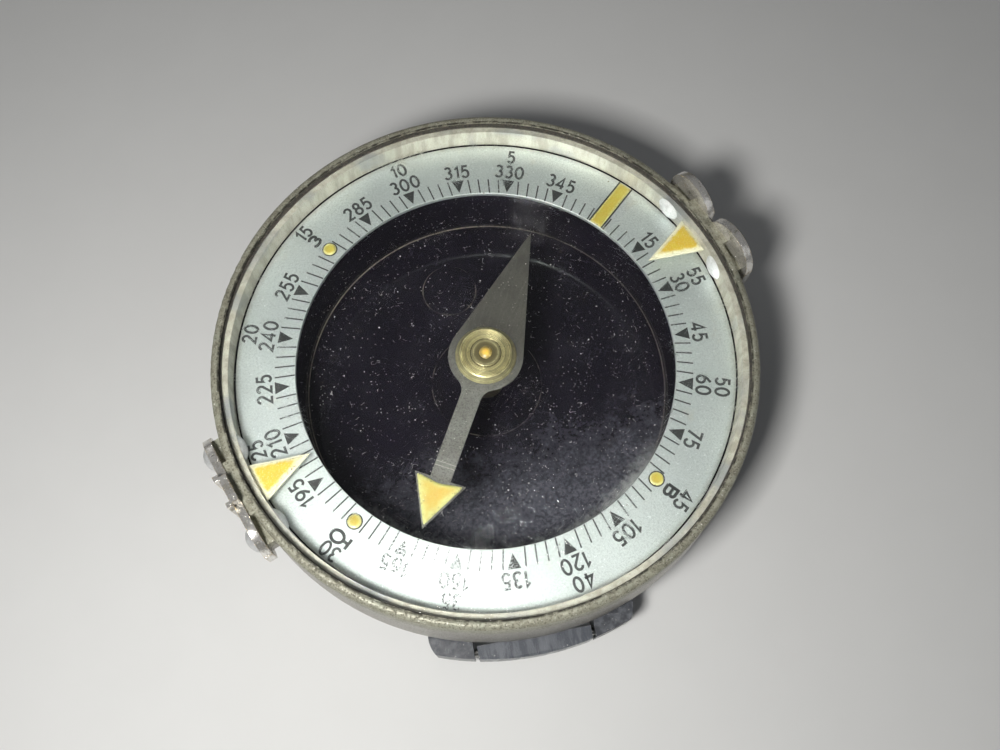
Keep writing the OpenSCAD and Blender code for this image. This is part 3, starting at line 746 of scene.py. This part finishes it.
def ring_nickel():
    """The ring's own plate: matt and pitted high up, polished by handling lower down."""
    look = Look("ring_nickel")
    top = high("bezel_ring")[2]
    height = look.math("ADD", look.parts()[2], look.ragged(2.2, 3.0, 0.55, 2.0))
    upper = look.span(height, top - 3.2, top - 1.6)
    colour = look.mix(upper, polished_plate(look), matt_plate(look))
    bare = look.product(look.edges(0.14), look.span(look.noise(0.7, 4.0), 0.42, 0.62))
    colour = look.mix(look.product(bare, 0.6), colour, rgb(0.62, 0.56, 0.40))
    pits = look.most(look.specks(0.3, 0.55, 0.32), look.span(look.noise(0.16, 3.0), 0.54, 0.64))
    pits = look.product(pits, look.span(upper, 0.0, 1.0, 0.45, 0.8))
    colour = look.mix(look.product(pits, 0.7), colour, rgb(0.10, 0.09, 0.06))
    glints = look.most(look.specks(0.8, 0.3, 0.11), look.span(look.noise(0.13, 2.0), 0.66, 0.72))
    colour = look.mix(glints, colour, rgb(0.85, 0.84, 0.76))
    colour = look.mix(ring_seam(look, top), colour, rgb(0.030, 0.028, 0.020))
    look.drive("Metallic", look.span(upper, 0.0, 1.0, 0.85, 0.3))
    rough = look.math("ADD", look.span(upper, 0.0, 1.0, 0.30, 0.46), look.product(pits, 0.2))
    look.surface(colour, rough)
    look.bump(look.math("SUBTRACT", look.noise(0.28, 5.0, 0.65), pits), 0.03)
    return look.material


def clear_crystal():
    """Clear crystal. Lamps shine through it, so it lets shadow rays pass."""
    look = Look("clear_crystal", Roughness=0.0, IOR=1.49, Transmission_Weight=1.0)
    look.drive("Base Color", rgb(0.985, 0.995, 0.99))
    wear = look.most(look.scratches(9.0, 0.5, 40), look.scratches(6.0, 0.45, 140))
    look.bump(look.product(wear, look.span(look.noise(4.0, 2.0), 0.5, 0.6)), 0.003)
    clear = look.add("ShaderNodeBsdfTransparent")
    lamp = look.add("ShaderNodeLightPath").outputs["Is Shadow Ray"]
    both = look.add("ShaderNodeMixShader")
    look.feed(both.inputs[0], lamp)
    look.feed(both.inputs[1], look.shader.outputs[0])
    look.feed(both.inputs[2], clear.outputs[0])
    look.feed(look.nodes["Material Output"].inputs["Surface"], both.outputs[0])
    return look.material


def dark_seal():
    look = Look("dark_seal")
    grain = look.noise(0.25, 4.0, 0.6)
    colour = look.mix(look.span(grain, 0.35, 0.7), rgb(0.020, 0.019, 0.017), rgb(0.075, 0.065, 0.05))
    look.surface(colour, look.span(grain, 0.3, 0.7, 0.45, 0.7))
    look.bump(grain, 0.02)
    return look.material


def beige_liner():
    """Beige-grey tarnished metal, streaked from top to bottom."""
    look = Look("beige_liner", Metallic=0.3)
    streak = look.noise(1.0, 4.0, 0.6, look.scaled(look.place, (1.1, 1.1, 0.2)))
    colour = look.mix(look.span(streak, 0.35, 0.66), rgb(0.44, 0.43, 0.36), rgb(0.30, 0.29, 0.235))
    colour = look.mix(look.span(look.noise(6.0, 3.0), 0.5, 0.66), colour, rgb(0.25, 0.26, 0.25))
    spots = look.span(look.noise(0.16, 4.0), 0.55, 0.7, 0.0, 0.5)
    colour = look.mix(spots, colour, rgb(0.20, 0.19, 0.14))
    look.surface(colour, look.span(streak, 0.3, 0.7, 0.32, 0.5))
    look.bump(look.noise(0.2, 4.0), 0.01)
    return look.material


def satin_aluminium():
    look = Look("satin_aluminium", Metallic=0.4)
    cloud = look.span(look.noise(0.5, 4.0, 0.6), 0.4, 0.68)
    colour = look.mix(cloud, rgb(0.60, 0.61, 0.61), rgb(0.47, 0.475, 0.47))
    colour = look.mix(look.specks(0.22, 0.14, 0.2), colour, rgb(0.28, 0.26, 0.22))
    look.surface(colour, look.span(cloud, 0.0, 1.0, 0.30, 0.46))
    look.bump(look.noise(0.12, 4.0), 0.012)
    return look.material


def cream_paint():
    look = Look("cream_paint", Coat_Weight=0.5, Coat_Roughness=0.12)
    cloud = look.span(look.noise(0.6, 4.0, 0.6), 0.35, 0.7)
    colour = look.mix(cloud, rgb(0.60, 0.59, 0.45), rgb(0.54, 0.52, 0.34))
    colour = look.mix(look.specks(0.26, 0.1, 0.15), colour, rgb(0.3, 0.22, 0.1))
    look.surface(colour, look.span(cloud, 0.0, 1.0, 0.25, 0.4))
    look.bump(look.noise(0.3, 3.0), 0.02)
    return look.material


def needle_steel(turn, mark_r):
    """Dull blued-grey steel with a fine speckle and two faint marks across its tail, and one end painted
    darker as shade.
    """
    look = Look("needle_steel", Metallic=0.35)
    node = look.add("ShaderNodeVectorRotate", rotation_type="Z_AXIS")
    look.feed(node.inputs["Vector"], look.place)
    node.inputs["Angle"].default_value = -turn
    along = look.scaled(node.outputs[0], (0.5, 5.0, 1.0))
    grain = look.noise(1.0, 4.0, 0.6, along)
    fine = look.noise(0.13, 3.0, 0.65)
    cloud = look.span(look.noise(2.2, 4.0, 0.6), 0.35, 0.7)
    ends = look.add("ShaderNodeSeparateXYZ")
    look.feed(ends.inputs[0], node.outputs[0])
    # Painted shade: the tail end is painted darker, the half the lamp lights less; the two halves are lit
    # and shaded copies of one steel.
    shaded_share = look.span(ends.outputs[0], -5.0, 3.0)
    lit_half = look.mix(cloud, rgb(0.130, 0.132, 0.119), rgb(0.100, 0.099, 0.088))
    shaded_half = look.mix(cloud, rgb(0.056, 0.055, 0.046), rgb(0.041, 0.040, 0.034))
    colour = look.mix(shaded_share, lit_half, shaded_half)
    colour = look.mix(look.span(grain, 0.45, 0.65, 0.0, 0.1), colour, rgb(0.17, 0.17, 0.15))
    colour = look.mix(look.span(fine, 0.50, 0.62, 0.0, 0.65), colour, rgb(0.040, 0.039, 0.033))
    colour = look.mix(look.specks(0.6, 0.10, 0.10), colour, rgb(0.6, 0.6, 0.56))
    pale = look.product(look.specks(0.24, 0.30, 0.24), look.span(look.noise(1.6, 3.0), 0.45, 0.6))
    colour = look.mix(pale, colour, rgb(0.30, 0.30, 0.26))
    marks = look.band(look.apart(ends.outputs[0], -mark_r), 0.19, 0.015, 0.06, 0.55)
    colour = look.mix(marks, colour, rgb(0.34, 0.33, 0.30))
    look.surface(colour, look.span(fine, 0.3, 0.7, 0.40, 0.58))
    look.bump(fine, 0.006)
    return look.material


# ---- dial print ----

def glyph(character):
    """Width and centre lines of a character that is 1 high. Each line is (points, closed)."""
    bowl = arc((0.26, 0.29), (0.26, 0.29), 0, 345, 20)
    tail = arc((0.60, 0.29), (0.60, 0.66), 180, 122, 8)
    six = [(bowl, True), (tail + [(0.42, 1.0)], False)]
    table = {
        "0": (0.56, [(arc((0.28, 0.5), (0.28, 0.5), 0, 345, 24), True)]),
        "1": (0.26, [([(0.0, 0.76), (0.23, 1.0), (0.23, 0.0)], False)]),
        "2": (0.50, [(arc((0.25, 0.73), (0.24, 0.27), 170, -25, 12) + [(0.01, 0.0), (0.5, 0.0)], False)]),
        "3": (0.48, [(arc((0.23, 0.76), (0.21, 0.24), 150, -85, 12), False),
                     (arc((0.23, 0.27), (0.25, 0.27), 88, -150, 14), False)]),
        "4": (0.56, [([(0.40, 0.0), (0.40, 1.0), (0.0, 0.27), (0.56, 0.27)], False)]),
        "5": (0.48, [([(0.45, 1.0), (0.09, 1.0), (0.04, 0.56)]
                      + arc((0.22, 0.32), (0.26, 0.32), 118, -148, 14), False)]),
        "6": (0.52, six),
        "8": (0.50, [(arc((0.25, 0.76), (0.20, 0.24), 0, 345, 16), True),
                     (arc((0.25, 0.27), (0.25, 0.27), 0, 345, 18), True)]),
        "7": (0.50, [([(0.0, 1.0), (0.5, 1.0), (0.18, 0.0)], False)]),
        "9": (0.52, [([(0.52 - x, 1.0 - y) for x, y in line], closed) for line, closed in six]),
        "B": (0.86, [([(0.0, 0.0), (0.0, 1.0), (0.52, 1.0)]
                      + arc((0.52, 0.77), (0.26, 0.23), 80, -90, 8) + [(0.06, 0.54)], False),
                     (arc((0.55, 0.27), (0.31, 0.27), 90, -90, 10) + [(0.0, 0.0)], False)]),
        "U": (1.75, [([(0.0, 0.0), (0.0, 1.0)], False), ([(0.0, 0.5), (0.55, 0.5)], False),
                     (arc((1.15, 0.5), (0.60, 0.5), 0, 345, 24), True)]),
        "Z": (0.86, [(arc((0.40, 0.76), (0.40, 0.24), 155, -80, 14), False),
                     (arc((0.40, 0.27), (0.46, 0.27), 85, -155, 16), False)]),
    }
    return table[character]


def on_print(point):
    """A point of the print, carried to its place on the dial."""
    return (point[0] + PRINT_AT[0], point[1] + PRINT_AT[1])


def write(shape, text, reading, base_r, height, stroke):
    """Writes text on the dial, upright from the middle, centred on a reading in degrees."""
    angle = ZERO - math.radians(reading) - math.pi / 2
    glyphs = [glyph(character) for character in text]
    width = sum(g[0] for g in glyphs) + DIGIT_GAP * (len(glyphs) - 1)
    start = -width / 2
    for glyph_width, lines in glyphs:
        for n, (line, closed) in enumerate(lines):
            placed = []
            for x, y in line:
                flat = ((x + start) * height, base_r + y * height)
                placed.append(on_print(turned(flat, angle)))
            top = DIAL_TOP + INK_LIFT + 0.001 * n
            shape.stroke(placed, stroke, INK_FOOT, top, closed)
        start += glyph_width + DIGIT_GAP


def dial_print():
    ticks, majors, inner, outer, letters = Shape(), Shape(), Shape(), Shape(), Shape()
    z0, z1 = INK_FOOT, DIAL_TOP + INK_LIFT
    for reading in range(0, 360, TICK_STEP):
        angle = ZERO - math.radians(reading)
        if reading % MAJOR_STEP:
            line = [turned((DIAL_IN_R + 0.05, 0), angle), on_print(turned((TICK_OUT_R, 0), angle))]
            ticks.stroke(line, TICK_W, z0, z1)
        if reading % MAJOR_STEP or reading % 90 == 0:
            continue
        arrow = [(MAJOR_IN_R, 0), (TICK_OUT_R, -MAJOR_W / 2), (TICK_OUT_R, MAJOR_W / 2)]
        majors.prism([on_print(turned(p, angle)) for p in arrow], z0, z1 + INK_STEP)
        write(inner, str(reading), reading, INNER_BASE_R, INNER_HEIGHT, STROKE)
    for mark in range(5, 60, 5):
        write(outer, str(mark), 360 - 6 * mark, OUTER_BASE_R, OUTER_HEIGHT, STROKE)
    for reading, letter in LETTERS.items():
        write(letters, letter, reading, LETTER_BASE_R, LETTER_HEIGHT, LETTER_STROKE)
    black = ink("dial_ink", 0.014)
    grey = ink("dial_ink_thin", 0.026)
    pieces = (("ticks", ticks, grey), ("triangles", majors, black), ("degrees", inner, grey),
              ("points", outer, grey), ("letters", letters, black))
    for name, shape, look in pieces:
        shape.piece("dial_" + name, "case", look, "dial_white", smooth=False)
    outlines(black)


def outlines(look):
    """Thin dark lines along the zero bar and round the three dots."""
    lines = Shape()
    z0, z1 = INK_FOOT, DIAL_TOP + INK_LIFT + 2 * INK_STEP
    bar = points_of("zero_bar")
    inner, outer = min(reach(p) for p in bar), max(reach(p) for p in bar)
    half = max(abs(turned(p, -ZERO)[1]) for p in bar)
    for side in (-1, 1):
        line = [turned((r, side * (half + 0.07)), ZERO) for r in (inner, outer)]
        lines.stroke(line, 0.17, z0, z1)
    for centre, radius in dots():
        lines.stroke(circle(centre, radius + 0.05), 0.14, z0, z1, loop=True)
    lines.piece("dial_outlines", "case", look, "dial_white", smooth=False)


def dots():
    """Middle and radius of each luminous dot, from the CAD node's own points."""
    found = []
    for quarter in (1, 2, 3):
        angle = ZERO - quarter * math.pi / 2
        level = [(p, turned(p, -angle)) for p in points_of("cardinal_dots")]
        near = [p for p, flat in level if abs(flat[1]) < 2 and flat[0] > 0]
        middle = sum(near, Vector()) / len(near)
        found.append((middle, max((p.xy - middle.xy).length for p in near)))
    return found


# ---- luminous paint ----

def dome_height(inset, width, height):
    """Height of a paint pool's surface that far in from its edge."""
    share = min(1.0, inset / width)
    return height * math.sqrt(1 - (1 - share) ** 2)


def pool(shape, outline, depth, z0, height, edge=0.45):
    """A domed pool of paint. outline(inset) gives its edge that far in, up to an inset of depth."""
    insets = [depth * (i / 9) ** 1.6 for i in range(10)]
    rings = [[(x, y, z0 - 0.01) for x, y in outline(0.0)]]
    for inset in insets:
        z = z0 + POOL_LIP + dome_height(inset, edge, height)
        rings.append([(x, y, z) for x, y in outline(inset)])
    shape.loops(rings, inward=[0.0] + insets)


def centroid(corners):
    return sum((Vector(c) for c in corners), Vector((0, 0))) / len(corners)


def rounded_triangle(corners, radius, bow=0.0):
    """A triangle's outline with rounded corners, and its first side bowed inwards."""
    middle = centroid(corners)
    out = []
    for i in range(3):
        corner, before, after = (Vector(corners[n % 3]) for n in (i, i - 1, i + 1))
        start = corner + (before - corner).normalized() * radius * CORNER_CUT
        end = corner + (after - corner).normalized() * radius * CORNER_CUT
        for k in range(7):
            t = k / 6
            out.append((1 - t) ** 2 * start + 2 * t * (1 - t) * corner + t * t * end)
        far_end = after + (corner - after).normalized() * radius * CORNER_CUT
        for k in range(1, 10):
            t = k / 10
            side = end.lerp(far_end, t)
            if i == 0:
                side = side + (middle - side).normalized() * bow * math.sin(math.pi * t)
            out.append(side)
    return out


def triangle_pool(node, corners, radius, bow=0.0):
    """A pool as high as its CAD node, whose insets shrink towards the triangle's inner circle."""
    a, b, c = (Vector(p) for p in corners)
    sides = [(b - c).length, (c - a).length, (a - b).length]
    centre = (a * sides[0] + b * sides[1] + c * sides[2]) / sum(sides)
    area = abs((b - a).cross(c - a)) / 2
    inner_r = 2 * area / sum(sides)
    edge = rounded_triangle(corners, radius, bow)

    def shrunk(inset):
        return [centre + (p - centre) * (1 - inset / inner_r) for p in edge]

    z0 = low(node)[2]
    shape = Shape()
    pool(shape, shrunk, inner_r * 0.9, z0, high(node)[2] - z0 - POOL_LIP)
    return shape


def rounded_bar(length, width, radius, inset):
    """Outline of a bar with rounded corners, that far in from its edge."""
    hx, hy, r = length / 2 - inset, width / 2 - inset, max(radius - inset, 0.02)
    out = []
    for quarter, (sx, sy) in enumerate(((1, 1), (-1, 1), (-1, -1), (1, -1))):
        out += arc((sx * (hx - r), sy * (hy - r)), (r, r), 90 * quarter, 90 * quarter + 90, 5)
    return out


def paint_corners(node):
    """The three corners of a triangular paint node, in no set order."""
    top = high(node)[2]
    corners = []
    for p in points_of(node):
        if abs(p.z - top) < 0.01 and all((p.xy - c).length > 0.2 for c in corners):
            corners.append(p.xy.copy())
    return corners


def turn_order(corners, tip):
    """Corners anticlockwise, with the tip last, so that the base is the first side."""
    others = [c for c in corners if (c - tip).length > 0.01]
    if (others[0] - tip).cross(others[1] - tip) < 0:
        others.reverse()
    return [others[0], others[1], tip]


def spread(corners, factor):
    """Corners moved away from their middle by that factor."""
    middle = centroid(corners)
    return [middle + (Vector(c) - middle) * factor for c in corners]


def pointer_paints():
    look = luminous("pointer_luminous", rgb(0.55, 0.54, 0.36), rgb(0.42, 0.320, 0.026), 0.38)
    for node in ("front_pointer_paint", "rear_pointer_paint"):
        corners = paint_corners(node)
        tip = min(corners, key=lambda p: p.length)
        wide = spread(turn_order(corners, tip), POOL_SPREAD)
        shape = triangle_pool(node, wide, 0.3)
        shape.piece(node + "_pool", "ring", look, "luminous_yellow", [node])


def needle_arrow():
    node = "needle_paint"
    corners = paint_corners(node)
    tip = max(corners, key=lambda p: p.length)
    look = luminous("needle_luminous", rgb(0.38, 0.385, 0.14), rgb(0.365, 0.285, 0.056), 0.75)
    shape = triangle_pool(node, turn_order(corners, tip), 0.14, bow=0.28)
    shape.piece("needle_arrow_pool", "needle", look, "luminous_yellow", [node])


def dial_paints():
    look = luminous("dial_luminous", rgb(0.40, 0.385, 0.15), rgb(0.33, 0.285, 0.040), 0.3)
    bar = points_of("zero_bar")
    length = max(reach(p) for p in bar) - min(turned(p, -ZERO)[0] for p in bar)
    width = 2 * max(abs(turned(p, -ZERO)[1]) for p in bar)
    middle = reach(box_middle("zero_bar"))
    height = high("zero_bar")[2] - DIAL_TOP - POOL_LIP

    def bar_edge(inset):
        return [turned((middle + x, y), ZERO) for x, y in rounded_bar(length - 0.04, width, 0.15, inset)]

    shape = Shape()
    pool(shape, bar_edge, width * 0.46, DIAL_TOP, height, 0.3)
    shape.piece("zero_bar_pool", "case", look, "luminous_yellow", ["zero_bar"])
    shape = Shape()
    for centre, radius in dots():
        pool(shape, lambda inset: circle(centre, radius - inset), radius * 0.94, DIAL_TOP, height, 0.4)
    shape.piece("cardinal_dot_pools", "case", look, "luminous_yellow", ["cardinal_dots"])


# ---- lathe-turned pieces ----

def needle_cap():
    """Turned brass cap: sloping side, fine concentric rings on top, a raised crown round the jewel."""
    bottom, top = low("needle_cap")[2], high("needle_cap")[2]
    base_z = high("needle_blade")[2]
    reach_r = high("needle_cap")[0]
    neck_r, bore_r, seat_r, seat_z = 1.45, 0.75, 0.62, low("needle_jewel")[2]
    face_z = top - 0.12
    profile = [(bore_r, bottom), (neck_r, bottom), (neck_r, base_z), (reach_r - 0.04, base_z)]
    profile += [(reach_r, base_z + 0.06), (reach_r - 0.06, base_z + 0.2), (reach_r - 0.34, face_z - 0.1)]
    profile += [(reach_r - 0.40, face_z - 0.02)]
    rings = 7
    outer, inner = reach_r - 0.5, 1.42
    for k in range(rings * 4 + 1):
        r = outer + (inner - outer) * k / (rings * 4)
        profile.append((r, face_z + 0.03 * math.cos(math.pi * k / 2)))
    profile += [(1.36, face_z), (1.34, top - 0.03), (1.28, top)]
    for k in range(1, 9):
        r = 1.28 + (seat_r + 0.14 - 1.28) * k / 8
        profile.append((r, top - 0.015 * (k % 2)))
    profile += [(seat_r + 0.06, top - 0.01), (seat_r, top - 0.08), (seat_r, seat_z), (bore_r, seat_z)]
    shape = Shape()
    shape.lathe(profile, 128, closed=True)
    look = turned_brass("cap_brass", rgb(0.58, 0.53, 0.29), rgb(0.38, 0.35, 0.19))
    shape.piece("needle_cap_turned", "needle", look, "brass_turned", ["needle_cap"])


def crystal():
    """The crystal, with a small chamfer round its upper edge."""
    r = high("crystal")[0]
    z0, z1 = low("crystal")[2], high("crystal")[2]
    shape = Shape()
    shape.lathe([(r - 0.02, z0), (r, z0 + 0.02), (r, z1 - 0.1), (r - 0.1, z1)], 256)
    shape.piece("crystal_disc", "ring", clear_crystal(), "crystal_clear", ["crystal"])


# ---- the rest of the compass ----

def finish_case():
    black = bakelite()
    soften("case", 0.07, black)
    outside = bar_bakelite()
    for node in ("front_strap_bar", "rear_strap_bar"):
        soften(node, 0.12, outside)
    soften("bottom_cover", 0.1, enamel())
    steel = small_steel()
    for node in ("cover_screws", "brake_lever"):
        soften(node, 0.05, steel)
    for node in ("strap_pins", "retaining_wire", "brake_pivot", "pivot_pin"):
        paint_node(node, steel)
    soften("dial", 0.04, dial_metal())


def finish_ring():
    soften("bezel_ring", 0.1, ring_nickel(), 3)
    sights = worn_nickel("sight_nickel", rgb(0.86, 0.84, 0.80), 0.06, 0.016)
    for node in ("front_sight", "rear_sight"):
        soften(node, 0.14, sights, 3)
    knob = worn_nickel("knob_nickel", rgb(0.6, 0.58, 0.52), 0.1, 0.02)
    soften("brake_knob", 0.12, knob, 3)
    paint_node("sight_rivets", satin_aluminium())
    paint_node("crystal_seal", dark_seal())
    soften("liner_ring", 0.05, beige_liner())
    cream = cream_paint()
    for node in ("front_pointer", "rear_pointer"):
        soften(node, 0.07, cream, 3)
    crystal()
    pointer_paints()


def finish_needle():
    lit_tip = max(points_of("needle_blade"), key=reach)
    arrow_base = min(turned(p, -heading(lit_tip))[0] for p in points_of("needle_paint"))
    look = needle_steel(heading(lit_tip) + math.pi, arrow_base - 1.45)
    soften("needle_blade", 0.03, look)
    needle_cap()
    paint_node("needle_jewel", amber())
    # Painted shade: the post and collar get a darker copy of the turned brass, for the needle's shadow
    # over them.
    brass = turned_brass("shaded_post_brass", rgb(0.16, 0.13, 0.065), rgb(0.09, 0.075, 0.04))
    for node in ("pivot_post", "lift_collar"):
        paint_node(node, brass)
    needle_arrow()


# ---- stage ----

def camera():
    data = bpy.data.cameras.new("camera")
    data.lens = CAMERA_LENS
    data.sensor_width = SENSOR_WIDTH
    data.clip_start = CLIP_START
    obj = new_object("camera", data)
    obj.location = Vector(CAMERA_AT) * MM
    ahead = Vector(CAMERA_AIM) - Vector(CAMERA_AT)
    obj.rotation_euler = ahead.to_track_quat("-Z", "Y").to_euler()
    bpy.context.scene.camera = obj


def lamp(name, direction, distance, size, power, colour):
    """A square soft light, aimed at the compass."""
    data = bpy.data.lights.new(name, "AREA")
    data.size = size * MM
    data.energy = power
    data.color = colour
    obj = new_object(name, data)
    toward = Vector(direction).normalized()
    obj.location = toward * distance * MM
    obj.rotation_euler = (-toward).to_track_quat("-Z", "Y").to_euler()


def stage():
    mesh = bpy.data.meshes.new("floor")
    corners = [(x * FLOOR_HALF, y * FLOOR_HALF, 0) for x, y in ((-1, -1), (1, -1), (1, 1), (-1, 1))]
    mesh.from_pydata(corners, [], [(0, 1, 2, 3)])
    floor = new_object("floor", mesh)
    look = Look("floor", Roughness=0.85)
    colour = look.mix(look.noise(6.0, 3.0), rgb(0.70, 0.70, 0.69), rgb(0.73, 0.73, 0.72))
    look.drive("Base Color", colour)
    mesh.materials.append(look.material)
    for name, settings in LAMPS.items():
        lamp(name, *settings)
    world = bpy.data.worlds.new("world")
    world.use_nodes = True
    background = world.node_tree.nodes["Background"]
    background.inputs["Color"].default_value = WORLD_COLOUR
    background.inputs["Strength"].default_value = WORLD_STRENGTH
    bpy.context.scene.world = world
    bpy.context.scene.view_settings.view_transform = "Standard"


camera()
stage()
finish_case()
dial_print()
dial_paints()
finish_ring()
finish_needle()
